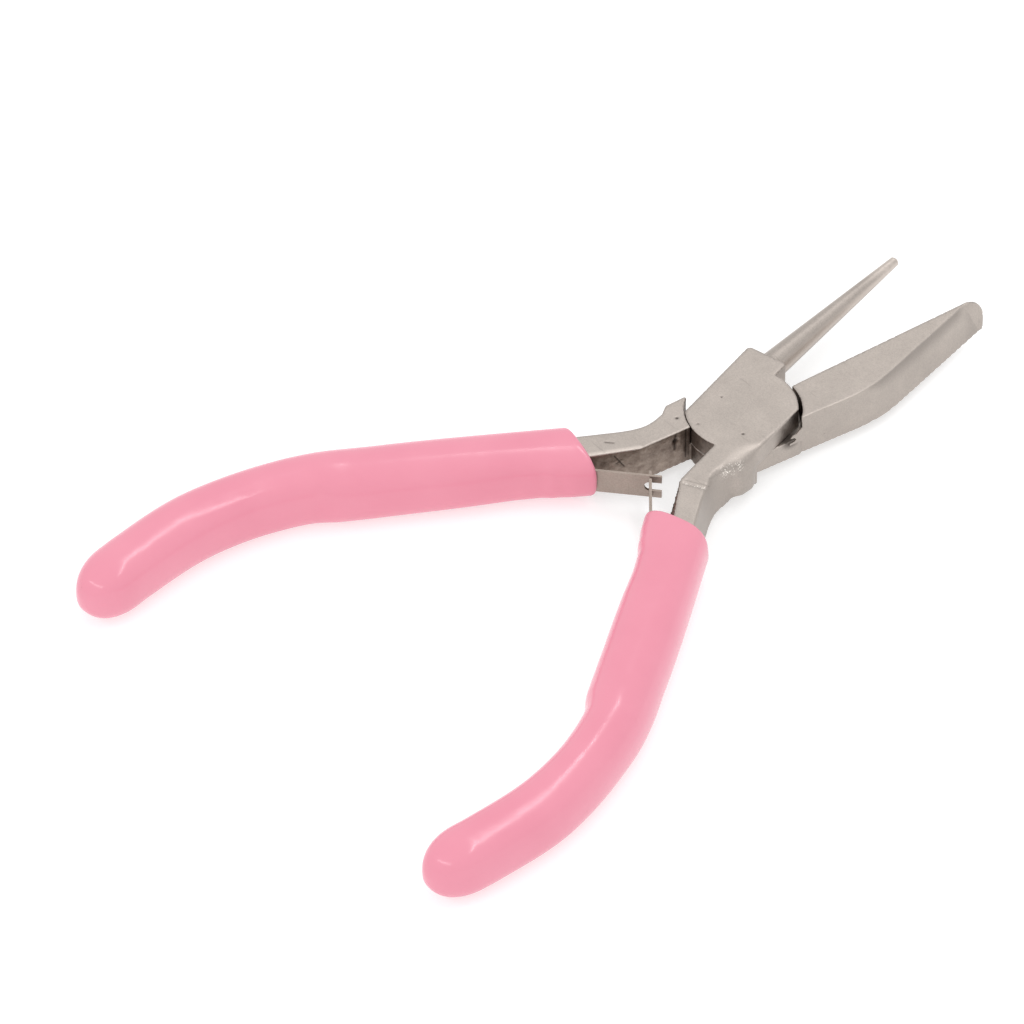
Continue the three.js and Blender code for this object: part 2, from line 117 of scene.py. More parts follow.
# ---- Levers ----
VOXEL = 0.18
SHARP_ANGLE = 25  # degrees between faces from which an edge counts as sharp
EDGE_REACH = 0.11  # points nearer than this to a sharp edge are drawn onto it
EDGE_STEP = 0.02
EVENING = 0.35  # share of the way that points then move towards their neighbours
KNUCKLE = (-5.7, -7.3)  # the round lever's outer side behind the joint, drawn closed
KNUCKLE_REACH = (1.0, 3.3)
KNUCKLE_PASSES = 160
KNUCKLE_OUT = 0.65
KNUCKLE_BACK = 0.3
KNUCKLE_SIDE = (3.5, 5.2)  # where the pushes start and are full, outwards
KNUCKLE_TOP = (2, 5.5)  # and the heights where they fade out
OFF_SEAT_RADIUS = (8.0, 8.9)  # the knuckle's rounding keeps off the joint's seat:
OFF_SEAT_HEIGHT = (3.3, 3.9)  # it fades out below and inside these
BURR = [  # side view of the burr at the end of the flat lever's pocket wall
    (5.3, 2.5), (5.3, 4.75), (4.75, 4.4), (4.35, 4.0), (3.75, 3.95), (3.45, 3.6), (4.05, 3.5),
    (4.35, 3.15), (4.0, 2.8), (3.35, 2.75), (3.3, 2.45),
]
BURR_FACES = (5.86, 6.02)
OUTER_EDGE = [  # distance behind the pivot and place of the handle's outer edge, drawn closed
    (-10, -5.9), (5, -5.9), (8.3, -5.65), (9.5, -4.6), (11.2, -4.05), (12.9, -3.9),
    (15.1, -4.4), (18.4, -5.7), (21.4, -6.95), (30, -10.3),
]
SHOULDER_RADIUS = [  # distance behind the pivot and radius of the rounded edge there
    (-10, 0.1), (0, 0.2), (5, 0.7), (8.5, 1.3), (11.5, 0.9), (14.5, 0.3), (30, 0.2),
]
PLATE_RADIUS = 7.55

# ---- Lever finish: each pair is where a mask starts and where it is full ----
UPRIGHT_LEAN = (0.35, 0.75)  # how far a face's normal leans up, from upright to level
INNER_FACING = (0.3, 0.6)
INNER_BEHIND = (2.5, 3.5)  # behind the pivot
SEAT_FACING = (0.5, 0.8)
SEAT_RADII = (7.9, 8.2)
RIM_FACING = (0.85, 0.95)
RIM_BAND = (0.15, 0.3)
RIM_BEHIND = (1, 2)
RAW_COARSE = 0.08  # heights and sizes of the roughness on the dark faces
RAW_FINE = 0.06
RAW_JAGGED = 0.3
COARSE_SIZE = 0.9
FINE_SIZE = 0.3
JAGGED_BEHIND = (13, 15)
JOINT_SHADE_SHARE = 0.55  # how dark the painted shade makes the dark faces beside the joint
JOINT_SHADE_RADII = (7.5, 9.5)
EDGE_HIGHLIGHT_WIDTH = (0.03, 0.14)  # painted highlight lines along sharp edges
EDGE_HIGHLIGHT_SIZE = 1.3
CONE_AHEAD = (10.5, 12)  # ahead of the pivot
CONE_UNDER = (-0.25, 0.05, 0.45, 0.8)  # lean where the band of painted light starts, is full, fades, ends
CONE_TIP = (30, 34)
TIP_BLOTCH = 0.35
HOLLOW_DEPTH = 0.1
HOLLOW_AT = [15.5, 18, 23, 32, 36.8]  # along the flat jaw
HOLLOW_LOW = [5.7, 4.7, 4.3, 4.3, 5.4]  # height of the hollow's lower border
HOLLOW_FADE = (0.9, 1.1)  # and how far its fade goes below and above that
HOLLOW_TOP = (0.12, 0.02)  # below the jaw's top face
HOLLOW_SIDE = (-1.6, -0.6)
HOLLOW_START = (15.3, 16.3)
NOSE_FACING = (0.1, 0.5)
NOSE_AHEAD = (34, 36)
OUTER_FACING = (0.55, 0.9)
OUTER_BEHIND = (4, 7)
BEVEL_HIGHLIGHT = ((-7.33, -20.8, 5.9), (-3.74, -14.67, 5.9), 0.45)  # painted highlight line: ends and width
# Patches of painted glints on the shoulder's crest and beside a crease: ends and width
CREST_GLINTS = ((6.9, -7.2, 5.4), (6.8, -9.2, 5.3), 1.35)
CREASE_GLINTS = ((4.89, -14.96, 5.9), (7.76, -13.43, 5.9), 0.35)
CREVICE = ((5.4, 3.6, 3.2), 1.9)  # painted shade in the crevice at the burr, drawn closed: centre and radius
CREVICE_SIDE = (-5.98, -5.9)
# Pits: centre, radius, depth and darkness
MARKS = {
    "round": [
        ((-3.4, -0.59, 5.9), 0.22, 0.06, 0.8), ((-1.83, -6.28, 5.9), 0.2, 0.05, 0.7),
        ((3.41, -3.24, 5.9), 0.25, 0.05, 0.8), ((1.44, 0.89, 5.9), 0.16, 0.04, 0.6),
    ],
    "flat": [
        ((-4.46, -7.53, 5.9), 0.3, 0.1, 0.9), ((-2.48, -9.59, 4.5), 0.6, 0.16, 0.95),
    ],
}
# Scored lines: ends, width, depth and darkness
SCORES = {
    "round": [
        ((4.89, -14.96, 5.9), (7.76, -13.43, 5.9), 0.3, 0.07, 0),
        ((4.6, -14.3, 5.9), (7.4, -12.8, 5.9), 0.25, 0.05, 0),
    ],
    "flat": [
        ((-5.22, -17.8, 5.23), (-4.56, -16.67, 3.14), 0.15, 0.04, 0.85),
        ((-5.08, -17.56, 3.87), (-4.7, -16.91, 4.5), 0.14, 0.03, 0.7),
        ((-2.45, -9.45, 5.5), (-2.5, -9.66, 3.1), 0.3, 0.08, 0.7),
        ((-2.2, -8.0, 5.7), (-2.2, -8.0, 0.8), 0.22, 0.05, 0.85),
        ((-7.4, -17.4, 5.9), (-6.6, -16.7, 5.9), 0.18, 0.04, 0.6),
    ],
}

# ---- Joint rivet ----
RIVET_FACE = [(0, 0.01), (1.5, 0.01), (2.6, 0.008), (3.1, 0.004), (3.35, -0.004), (3.2, -0.08)]
RIVET_NECK = [(2.25, -1.05), (2.2, -1.2)]  # radius and height from the plate's surface
RIVET_SIDES = 96
RIVET_SHARP_ANGLE = 30

# ---- Colours ----
WHITE = (1, 1, 1, 1)
VINYL_DEEP = (0.755, 0.268, 0.352, 1)
VINYL_PALE = (0.785, 0.292, 0.377, 1)
VINYL_SPECK = (0.45, 0.11, 0.13, 1)
STEEL = (0.452, 0.403, 0.366, 1)
SPRING_STEEL = (0.36, 0.3, 0.26, 1)
# Tones of the rough unfinished faces, painted dark as shade between the parts
RAW_SHADE_DARK = (0.225, 0.175, 0.147, 1)
RAW_SHADE_PALE = (0.45, 0.37, 0.315, 1)
GLINT = (1.0, 0.95, 0.88, 1)
# Colour of the dark pits and scores, and of the painted shade beside the joint and at the burr
MARKS_AND_SHADE = (0.03, 0.022, 0.018, 1)
PAPER = (0.6, 0.6, 0.6, 1)

# ---- Camera, in millimetres ----
CAMERA_AT = (815.48, -781.27, 1107.66)
CAMERA_AIM = (-0.5253, 0.4773, -0.7045)
CAMERA_LENS = 430.0
SENSOR_WIDTH = 36

# ---- Studio, in metres and watts ----
FLOOR_HALF_SIZE = 3
FLOOR_GLOW = 0.52
WORLD_STRENGTH = 0.93
STRIP_AIM = (0, -0.03, 0)
STRIP_SIZE = (1.0, 0.035)
STRIPS = [  # name, place, direction of the long side and power
    ("overhead_strip", (0, 0.32, 0.92), (0.92, -0.39, 0), 1.9),
    ("front_strip", (0, -0.65, 0.7), (1, 0, 0), 1.4),
]


# ---- Curves ----

def catmull_rom(points, steps):
    """Centripetal Catmull-Rom curve through the points, as a dense polyline."""
    p = np.array(points, float)
    p = np.vstack([2 * p[0] - p[1], p, 2 * p[-1] - p[-2]])
    made = []
    for k in range(1, len(p) - 2):
        quad = p[k - 1:k + 3]
        steps_between = np.linalg.norm(np.diff(quad, axis=0), axis=1) ** 0.5
        knots = np.concatenate([[0], np.cumsum(steps_between)])
        t = np.linspace(knots[1], knots[2], steps, endpoint=False)[:, None]
        a = [between(quad[i], quad[i + 1], knots[i], knots[i + 1], t) for i in range(3)]
        b = [between(a[i], a[i + 1], knots[i], knots[i + 2], t) for i in range(2)]
        made.append(between(b[0], b[1], knots[1], knots[2], t))
    return np.vstack(made + [p[-2:-1]])


def between(a, b, start, end, t):
    """Straight blend from a at start to b at end."""
    return a + (b - a) * (t - start) / (end - start)


def evenly(values, u):
    """Smooth curve through evenly spaced values, for u from 0 to 1."""
    spots = np.linspace(0, 1, len(values))
    curve = catmull_rom(np.column_stack([spots, values]), PROFILE_STEPS)
    return np.interp(np.clip(u, 0, 1), curve[:, 0], curve[:, 1])


class GripPath:
    """The grip's centreline, drawn closed; it runs straight on past both ends."""

    def __init__(self):
        self.line = catmull_rom(GRIP_PATH, PATH_STEPS)
        steps = np.linalg.norm(np.diff(self.line, axis=0), axis=1)
        self.along = np.concatenate([[0], np.cumsum(steps)])
        self.length = self.along[-1]
        self.tangents = np.gradient(self.line, self.along, axis=0)
        self.tangents /= np.linalg.norm(self.tangents, axis=1)[:, None]

    def at(self, distance):
        """Centre and inward direction at each distance from the front."""
        inside = np.clip(distance, 0, self.length)
        tangent = self.picked(self.tangents, inside)
        centre = self.picked(self.line, inside)
        centre = centre + tangent * (distance - inside)[..., None]
        inward = np.stack([-tangent[..., 1], tangent[..., 0]], -1)
        return centre, inward

    def picked(self, rows, distance):
        return np.stack([np.interp(distance, self.along, rows[:, c]) for c in (0, 1)], -1)


def superellipse(angle, power):
    """Points of a unit ellipse that is squarer the more power is above 2."""
    c, s = np.cos(angle), np.sin(angle)
    return np.sign(c) * np.abs(c) ** (2 / power), np.sign(s) * np.abs(s) ** (2 / power)


def smoothstep(x, low, high):
    """0 below low, 1 above high and smooth between; low is below high."""
    t = np.clip((x - low) / (high - low), 0, 1)
    return t * t * (3 - 2 * t)


# ---- Grips ----

def grip_surface(path, distance, angle, inset=0.0, scale=1.0, depth_scale=None):
    """Points of the grip's skin, or of a skin inset from it, in its closed frame."""
    centre, inward = path.at(distance)
    depth_scale = scale if depth_scale is None else depth_scale
    u = distance / path.length
    across, up = superellipse(angle, evenly(GRIP_SQUARENESS, u))
    half_width = (evenly(GRIP_HALF_WIDTHS, u) - inset) * scale
    half_depth = (evenly(GRIP_HALF_DEPTHS, u) - inset) * depth_scale
    swell = smooth_interp(distance, SWELL_AT, SWELL) * np.clip(across, 0, 1) ** SIDE_POWER
    droop = GRIP_DROOP * np.clip(-across, 0, 1) ** SIDE_POWER * (0.5 - 0.5 * up)
    droop = droop * (1 - smoothstep(distance, *GRIP_DROOP_FADE))
    collar = COLLAR_HEIGHT * smoothstep(distance, *COLLAR_RISE)
    collar = collar * (1 - smoothstep(distance, *COLLAR_FALL))
    half_depth = half_depth + collar * np.clip(up, 0, 1)
    side = across * half_width + (swell - droop) * scale
    xy = centre + inward * side[..., None]
    return np.concatenate([xy, (MID + up * half_depth)[..., None]], -1)


def smooth_interp(x, spots, values):
    """Smooth steps from value to value."""
    k = np.clip(np.searchsorted(spots, x) - 1, 0, len(spots) - 2)
    spots, values = np.array(spots), np.array(values)
    t = np.clip((x - spots[k]) / (spots[k + 1] - spots[k]), 0, 1)
    return values[k] + (values[k + 1] - values[k]) * t * t * (3 - 2 * t)


def front_distance(path, angle):
    """Distance at which the skin crosses the front plane, for each angle."""
    low = np.full(angle.shape, FRONT_SEARCH[0])
    high = np.full(angle.shape, FRONT_SEARCH[1])
    for _ in range(HALVINGS):
        mid = (low + high) / 2
        point = grip_surface(path, mid, angle)
        front_y = GRIP_FRONT_Y - GRIP_FRONT_LEAN * (point[..., 0] - GRIP_FRONT_X)
        ahead = point[..., 1] > front_y
        low = np.where(ahead, mid, low)
        high = np.where(ahead, high, mid)
    return (low + high) / 2


def grip_rings(path):
    """Rings from the cavity's blind end round the lip to the dome, and the dome's tip."""
    angle = np.linspace(0, 2 * math.pi, SIDES, endpoint=False)
    start = front_distance(path, angle)
    rings = []
    for k in range(CAVITY_RINGS):
        t = 1 - k / (CAVITY_RINGS - 1)
        distance = start + LIP + t * (TANG_LENGTH + TANG_END_ROOM - start)
        rings.append(cavity_ring(path, distance, angle))
    for k in range(2 * LIP_STEPS + 1):
        turn = math.pi * k / (2 * LIP_STEPS)
        inset = WALL / 2 * (1 + math.cos(turn))
        back = LIP * (1 - math.sin(turn))
        rings.append(grip_surface(path, start + back, angle, inset=inset))
    first = start + LIP
    for k in range(1, RINGS):
        t = k / (RINGS - 1)
        distance = first + (path.length - first) * t
        rings.append(grip_surface(path, distance, angle))
    for k in range(1, DOME_RINGS):
        s = math.sin(math.pi / 2 * k / DOME_RINGS)
        distance = np.full(angle.shape, path.length + GRIP_DOME * s)
        scale = (1 - s ** 2) ** 0.5
        depth_scale = (1 - s ** DOME_POWER) ** (1 / DOME_ROOT)
        rings.append(grip_surface(path, distance, angle, scale=scale, depth_scale=depth_scale))
    tip = path.at(np.array(path.length + GRIP_DOME))[0]
    return rings, (tip[0], tip[1], MID)


def cavity_ring(path, distance, angle):
    """Roomy behind the lip, closing on the tang further in."""
    roomy = grip_surface(path, distance, angle, inset=WALL)
    centre, inward = path.at(distance)
    across, up = superellipse(angle, CAVITY_SQUARENESS)
    xy = centre + inward * (across * (TANG_HALF_WIDTH + TANG_ROOM))[..., None]
    close = np.concatenate([xy, (MID + up * (TANG_HALF_DEPTH + TANG_ROOM))[..., None]], -1)
    k = smoothstep(distance, *CAVITY_CLOSES)[..., None]
    return roomy * (1 - k) + close * k


def grip_mesh(name, mirrored):
    """The hollow grip as one closed skin."""
    path = GripPath()
    rings, tip = grip_rings(path)
    points = np.vstack(rings + [np.array([tip]), rings[0].mean(0)[None]])
    faces = []
    for r in range(len(rings) - 1):
        for i in range(SIDES):
            j = (i + 1) % SIDES
            here, there = r * SIDES, (r + 1) * SIDES
            faces.append((here + i, here + j, there + j, there + i))
    end = len(rings) * SIDES
    last = end - SIDES
    faces += [(last + i, last + (i + 1) % SIDES, end) for i in range(SIDES)]
    faces += [((i + 1) % SIDES, i, end + 1) for i in range(SIDES)]
    return finished_mesh(name, to_row_frame(points, mirrored), faces, not mirrored)


def to_row_frame(points, mirrored):
    """Turns a grip from where it is drawn to where it stands open."""
    x, y = turned(points[:, 0], points[:, 1], -GRIP_TURN)
    return np.column_stack([-x if mirrored else x, y, points[:, 2]])


def turned(x, y, degrees):
    turn = math.radians(degrees)
    return x * math.cos(turn) - y * math.sin(turn), x * math.sin(turn) + y * math.cos(turn)


def finished_mesh(name, points_mm, faces, flip=False):
    """A smooth-shaded object in metres from points in millimetres."""
    mesh = bpy.data.meshes.new(name)
    order = [tuple(reversed(f)) for f in faces] if flip else faces
    mesh.from_pydata((points_mm * MM).tolist(), [], order)
    mesh.validate()
    mesh.shade_smooth()
    made = bpy.data.objects.new(name, mesh)
    bpy.context.scene.collection.objects.link(made)
    return made


# ---- Levers ----

def bare_copy(node, name):
    """A welded copy of a CAD solid, in millimetres."""
    copy = node.copy()
    copy.data = node.data.copy()
    copy.name = name
    copy.data.name = name
    for key in list(copy.keys()):
        del copy[key]
    copy.parent = None
    bpy.context.scene.collection.objects.link(copy)
    weld(copy)
    copy.data.transform(scale_matrix(1 / MM))
    return copy


def search_tree(spots):
    tree = KDTree(len(spots))
    for i, spot in enumerate(spots):
        tree.insert(spot, i)
    tree.balance()
    return tree


def guides(solid):
    """Nearest-point searches for a solid's faces, its sharp edges and the convex ones."""
    edit = bmesh.new()
    edit.from_mesh(solid.data)
    faces = BVHTree.FromBMesh(edit)
    sharp, convex = [], []
    for edge in edit.edges:
        turn = edge.calc_face_angle_signed(0)
        if abs(turn) < math.radians(SHARP_ANGLE):
            continue
        a, b = (vertex.co for vertex in edge.verts)
        steps = max(1, math.ceil((a - b).length / EDGE_STEP))
        row = [a.lerp(b, i / steps) for i in range(steps + 1)]
        sharp += row
        if turn > 0:
            convex += row
    edit.free()
    return faces, search_tree(sharp), search_tree(convex)


def drawn_onto(points, faces, sharp):
    """Points moved onto the solid's faces, or onto a sharp edge that is near."""
    made = np.empty_like(points)
    for i, point in enumerate(points):
        spot = Vector(point)
        edge, _, gap = sharp.find(spot)
        made[i] = edge if gap < EDGE_REACH else faces.find_nearest(spot)[0]
    return made


def remeshed(obj, faces, sharp):
    """Meshes a solid anew with small even faces that keep to its flats and edges."""
    remesh = obj.modifiers.new("remesh", "REMESH")
    remesh.mode = "VOXEL"
    remesh.voxel_size = VOXEL
    apply_modifiers(obj)
    obj.data.transform(scale_matrix(MM))
    points, _ = vertex_arrays(obj)
    points = drawn_onto(points, faces, sharp)
    pairs = edge_pairs(obj)
    points += EVENING * (averaged(points, pairs) - points)
    set_points(obj, points)
    obj.data.shade_smooth()


def add_burr(lever):
    """Joins the flat lever's burr to its mesh."""
    edit = bmesh.new()
    edit.from_mesh(lever.data)
    rings = []
    for x in BURR_FACES:
        corners = [(*turned(x, y, -LEVER_TURN["flat"]), z) for y, z in BURR]
        rings.append([edit.verts.new([c * MM for c in corner]) for corner in corners])
    low, high = rings
    made = [edit.faces.new(list(reversed(low))), edit.faces.new(high)]
    for i in range(len(BURR)):
        j = (i + 1) % len(BURR)
        made.append(edit.faces.new((low[i], low[j], high[j], high[i])))
    bmesh.ops.recalc_face_normals(edit, faces=made)
    edit.to_mesh(lever.data)
    edit.free()


def scale_matrix(factor):
    return Matrix.Diagonal((factor, factor, factor, 1))


def weld(obj):
    """Joins the vertices that stand in one place."""
    edit = bmesh.new()
    edit.from_mesh(obj.data)
    bmesh.ops.remove_doubles(edit, verts=edit.verts, dist=1e-8)
    edit.to_mesh(obj.data)
    edit.free()


def apply_modifiers(obj):
    graph = bpy.context.evaluated_depsgraph_get()
    final = bpy.data.meshes.new_from_object(obj.evaluated_get(graph))
    obj.modifiers.clear()
    old = obj.data
    obj.data = final
    bpy.data.meshes.remove(old)


def paint(obj, name, values):
    """Keeps a mask on the mesh for the materials to read."""
    layer = obj.data.attributes.new(name, "FLOAT", "POINT")
    layer.data.foreach_set("value", np.clip(values, 0, 1).astype(np.float32))


def vertex_arrays(obj):
    """Points in millimetres and unit normals."""
    count = len(obj.data.vertices)
    points = np.empty(count * 3, np.float32)
    normals = np.empty(count * 3, np.float32)
    obj.data.vertices.foreach_get("co", points)
    obj.data.vertex_normals.foreach_get("vector", normals)
    return points.reshape(-1, 3).astype(float) / MM, normals.reshape(-1, 3).astype(float)


def set_points(obj, points):
    obj.data.vertices.foreach_set("co", (points * MM).astype(np.float32).ravel())
    obj.data.update()


def edge_pairs(obj):
    pairs = np.empty(len(obj.data.edges) * 2, np.int32)
    obj.data.edges.foreach_get("vertices", pairs)
    return pairs.reshape(-1, 2)


def averaged(values, pairs):
    """Mean of each vertex's neighbours."""
    total = np.zeros_like(values)
    np.add.at(total, pairs[:, 0], values[pairs[:, 1]])
    np.add.at(total, pairs[:, 1], values[pairs[:, 0]])
    count = np.bincount(pairs.ravel(), minlength=len(values))
    return total / np.maximum(count, 1).reshape(-1, *[1] * (values.ndim - 1))


def lever_frame(points, side):
    """Row-frame points as drawn closed, with the jaw on +X and the handle on -X."""
    x, y = turned(points[:, 0] * LEVER_FLIP[side], points[:, 1], LEVER_TURN[side])
    return np.column_stack([x, y, points[:, 2]])


def from_lever_frame(place, side):
    """The other way round from lever_frame."""
    x, y = turned(place[:, 0], place[:, 1], -LEVER_TURN[side])
    return np.column_stack([LEVER_FLIP[side] * x, y, place[:, 2]])


def soften_shoulder(lever):
    """Rounds the round lever's outer top edge over, most of all at its shoulder."""
    points, _ = vertex_arrays(lever)
    place = lever_frame(points, "round")
    edge = np.interp(-place[:, 1], *np.array(OUTER_EDGE).T)
    radius = smooth_interp(-place[:, 1], *np.array(SHOULDER_RADIUS).T.tolist())
    in_x = edge + radius - place[:, 0]
    in_z = place[:, 2] - (THICKNESS - radius)
    reach = np.hypot(in_x, in_z)
    corner = (in_x > 0) & (in_z > 0) & (reach > radius)
    pull = np.where(corner, radius / np.maximum(reach, 1e-6), 1)
    place[:, 0] = edge + radius - in_x * pull
    place[:, 2] = THICKNESS - radius + in_z * pull
    points = from_lever_frame(place, "round")
    radius = np.hypot(place[:, 0], place[:, 1])
    off_seat = np.maximum(
        smoothstep(radius, *OFF_SEAT_RADIUS), smoothstep(place[:, 2], *OFF_SEAT_HEIGHT))
    points = relaxed(points, edge_pairs(lever), knuckle(place) * off_seat, KNUCKLE_PASSES)
    place = lever_frame(points, "round")
    outer = knuckle(place) * off_seat * smoothstep(-place[:, 0], *KNUCKLE_SIDE)
    outer = outer * (1 - smoothstep(place[:, 2], *KNUCKLE_TOP))
    place[:, 0] -= KNUCKLE_OUT * outer
    place[:, 1] -= KNUCKLE_BACK * outer
    set_points(lever, from_lever_frame(place, "round"))


def knuckle(place):
    """How far the round lever's outer side is rounded over, from 0 to 1."""
    gap = np.hypot(place[:, 0] - KNUCKLE[0], place[:, 1] - KNUCKLE[1])
    return 1 - smoothstep(gap, *KNUCKLE_REACH)


def relaxed(points, pairs, weight, times):
    """Points moved towards their neighbours again and again, where weight is above 0."""
    near_by = weight > 0
    for _ in range(2):
        touched = near_by[pairs].any(1)
        near_by[pairs[touched].ravel()] = True
    index = np.cumsum(near_by) - 1
    local = pairs[near_by[pairs].all(1)]
    part, pull = points[near_by], 0.5 * weight[near_by][:, None]
    for _ in range(times):
        part = part + pull * (averaged(part, index[local]) - part)
    points = points.copy()
    points[near_by] = part
    return points


def blotches(points, spacing, seed):
    """Smooth random values from 0 to 1, fixed by the seed."""
    offset = Vector((seed * 7.3, seed * 3.1, seed * 5.7))
    values = [noise.noise(Vector(point) / spacing + offset) for point in points]
    return np.array(values) * 0.5 + 0.5


def near_spot(points, centre, radius):
    """1 at the centre, falling to 0 at radius."""
    gap = np.linalg.norm(points - np.array(centre), axis=1)
    return 1 - smoothstep(gap, radius * 0.35, radius)


def raw_shaded_faces(place, facing):
    """The rough unfinished faces, painted dark as shade between the parts: handle's inner side,
    seat wall and rim of the plate.
    """
    upright = 1 - smoothstep(np.abs(facing[:, 2]), *UPRIGHT_LEAN)
    inner = smoothstep(facing[:, 0], *INNER_FACING) * smoothstep(-place[:, 1], *INNER_BEHIND)
    radius = np.hypot(place[:, 0], place[:, 1])
    outward = (facing[:, :2] * place[:, :2]).sum(1) / radius
    wall = smoothstep(-outward, *SEAT_FACING) * (1 - smoothstep(radius, *SEAT_RADII))
    rim = 1 - smoothstep(np.abs(radius - PLATE_RADIUS), *RIM_BAND)
    rim = smoothstep(outward, *RIM_FACING) * rim * smoothstep(-place[:, 1], *RIM_BEHIND)
    return upright * np.maximum(np.maximum(inner, wall), rim)


def finish_lever(lever, side, convex):
    """Roughens, hollows, pits and scores the surface, and paints the materials' masks, painted
    shade, highlights and glints among them.
    """
    points, normals = vertex_arrays(lever)
    place = lever_frame(points, side)
    facing = lever_frame(normals, side)
    raw_shaded = raw_shaded_faces(place, facing)
    # Painted highlights along the sharp edges, on the flat lever's bevel and on the round jaw
    painted_highlight = edge_highlight(points, convex) * (1 - raw_shaded)
    if side == "round":
        painted_highlight = np.maximum(painted_highlight * (1 - knuckle(place)), cone_painted_light(place, facing, points))
    else:
        painted_highlight = np.maximum(painted_highlight, 0.55 * near_line(points, *BEVEL_HIGHLIGHT) * (1 - raw_shaded))
    jagged = RAW_JAGGED * smoothstep(-place[:, 1], *JAGGED_BEHIND) if side == "round" else 0
    coarse = blotches(points, COARSE_SIZE, 1) - 0.5
    fine = blotches(points, FINE_SIZE, 2) - 0.5
    height = coarse * RAW_COARSE + fine * (RAW_FINE + jagged)
    points = points + normals * (height * raw_shaded)[:, None]
    hollow = jaw_hollow(place) if side == "flat" else np.zeros(len(points))
    points = points - normals * (HOLLOW_DEPTH * hollow)[:, None]
    radius = np.hypot(place[:, 0], place[:, 1])
    # Painted shade on the dark faces beside the joint
    marks_and_shade = raw_shaded * JOINT_SHADE_SHARE * (1 - smoothstep(radius, *JOINT_SHADE_RADII))
    for centre, spot_radius, depth, dark in MARKS[side]:
        spot = near_spot(points, centre, spot_radius)
        points = points - normals * (spot * depth)[:, None]
        marks_and_shade = np.maximum(marks_and_shade, spot * dark)
    for start, end, width, depth, dark in SCORES[side]:
        line = near_line(points, start, end, width)
        points = points - normals * (line * depth)[:, None]
        marks_and_shade = np.maximum(marks_and_shade, line * dark)
    set_points(lever, points)
    # Painted shade in the crevice at the burr
    if side == "flat":
        inside = smoothstep(-np.abs(place[:, 0]), *CREVICE_SIDE)
        marks_and_shade = np.maximum(marks_and_shade, near_spot(place, *CREVICE) * inside * 0.75)
    paint(lever, "raw_shaded", raw_shaded)
    paint(lever, "painted_highlight", painted_highlight)
    paint(lever, "marks_and_shade", marks_and_shade)
    # Painted shade in the jaw's hollow, on the nose and on the handle's outer side
    paint(lever, "shade", np.maximum(0.5 * hollow, lever_shade(place, facing, side)))
    # Where the painted glints go
    paint(lever, "glint_patches", glint_patches(points, side))


def cone_painted_light(place, facing, points):
    """Painted light on the round jaw: a brighter band underneath and brighter blotches at its
    tip.
    """
    on_cone = smoothstep(place[:, 1], *CONE_AHEAD)
    lean = facing[:, 2]
    under = 0.6 * smoothstep(lean, *CONE_UNDER[:2]) * (1 - smoothstep(lean, *CONE_UNDER[2:]))
    tip = smoothstep(place[:, 1], *CONE_TIP) * (0.25 + 0.7 * blotches(points, TIP_BLOTCH, 5))
    return on_cone * np.maximum(under, tip)


def edge_highlight(points, convex):
    """Painted highlight lines of uneven strength along the sharp edges."""
    gap = np.array([convex.find(Vector(point))[2] for point in points])
    return (1 - smoothstep(gap, *EDGE_HIGHLIGHT_WIDTH)) * (0.05 + 0.5 * blotches(points, EDGE_HIGHLIGHT_SIZE, 3))


def near_line(points, start, end, width):
    """1 along the line from start to end, falling to 0 at width from it."""
    a, b = np.array(start), np.array(end)
    t = np.clip((points - a) @ (b - a) / ((b - a) @ (b - a)), 0, 1)
    gap = np.linalg.norm(points - (a + t[:, None] * (b - a)), axis=1)
    return 1 - smoothstep(gap, width * 0.3, width)


def jaw_hollow(place):
    """The hollow grind under the flat jaw's outer top edge, from the bend to the tip."""
    along = place[:, 1]
    low = np.interp(along, HOLLOW_AT, HOLLOW_LOW)
    outer = smoothstep(place[:, 0], *HOLLOW_SIDE) * smoothstep(along, *HOLLOW_START)
    start, full = (THICKNESS - depth for depth in HOLLOW_TOP)
    below_edge = 1 - smoothstep(place[:, 2], start, full)
    above_low = smoothstep(place[:, 2], low - HOLLOW_FADE[0], low + HOLLOW_FADE[1])
    return outer * below_edge * above_low


def lever_shade(place, facing, side):
    """Painted shade: the nose and the handle's outer side are a little darker."""
    if side == "flat":
        nose = smoothstep(facing[:, 1], *NOSE_FACING) * smoothstep(place[:, 1], *NOSE_AHEAD)
        return 0.35 * nose
    outer = smoothstep(-facing[:, 0], *OUTER_FACING) * smoothstep(-place[:, 1], *OUTER_BEHIND)
    return 0.2 * outer


def glint_patches(points, side):
    """Patches of painted glints on the round lever's shoulder and beside its creases."""
    if side == "flat":
        return np.zeros(len(points))
    return np.maximum(near_line(points, *CREST_GLINTS), 0.75 * near_line(points, *CREASE_GLINTS))


# ---- Joint rivet ----

def rivet_mesh(name):
    """Peened rivet that fills its seats and lies all but flush with the plates."""
    top = [(r, THICKNESS + z) for r, z in RIVET_FACE + RIVET_NECK]
    profile = top + [(r, THICKNESS - z) for r, z in reversed(top)]
    sides = RIVET_SIDES
    turns = np.linspace(0, 2 * math.pi, sides, endpoint=False)
    rings = [(r, z) for r, z in profile if r > 0]
    points = [(r * math.cos(a), r * math.sin(a), z) for r, z in rings for a in turns]
    points += [(0, 0, profile[0][1]), (0, 0, profile[-1][1])]
    faces = []
    for k in range(len(rings) - 1):
        for i in range(sides):
            j = (i + 1) % sides
            here, there = k * sides, (k + 1) * sides
            faces.append((here + i, there + i, there + j, here + j))
    top_pole = len(rings) * sides
    last = top_pole - sides
    faces += [(i, (i + 1) % sides, top_pole) for i in range(sides)]
    faces += [(last + (i + 1) % sides, last + i, top_pole + 1) for i in range(sides)]
    made = finished_mesh(name, np.array(points), faces)
    made.data.set_sharp_from_angle(angle=math.radians(RIVET_SHARP_ANGLE))
    return made


# ---- Materials ----

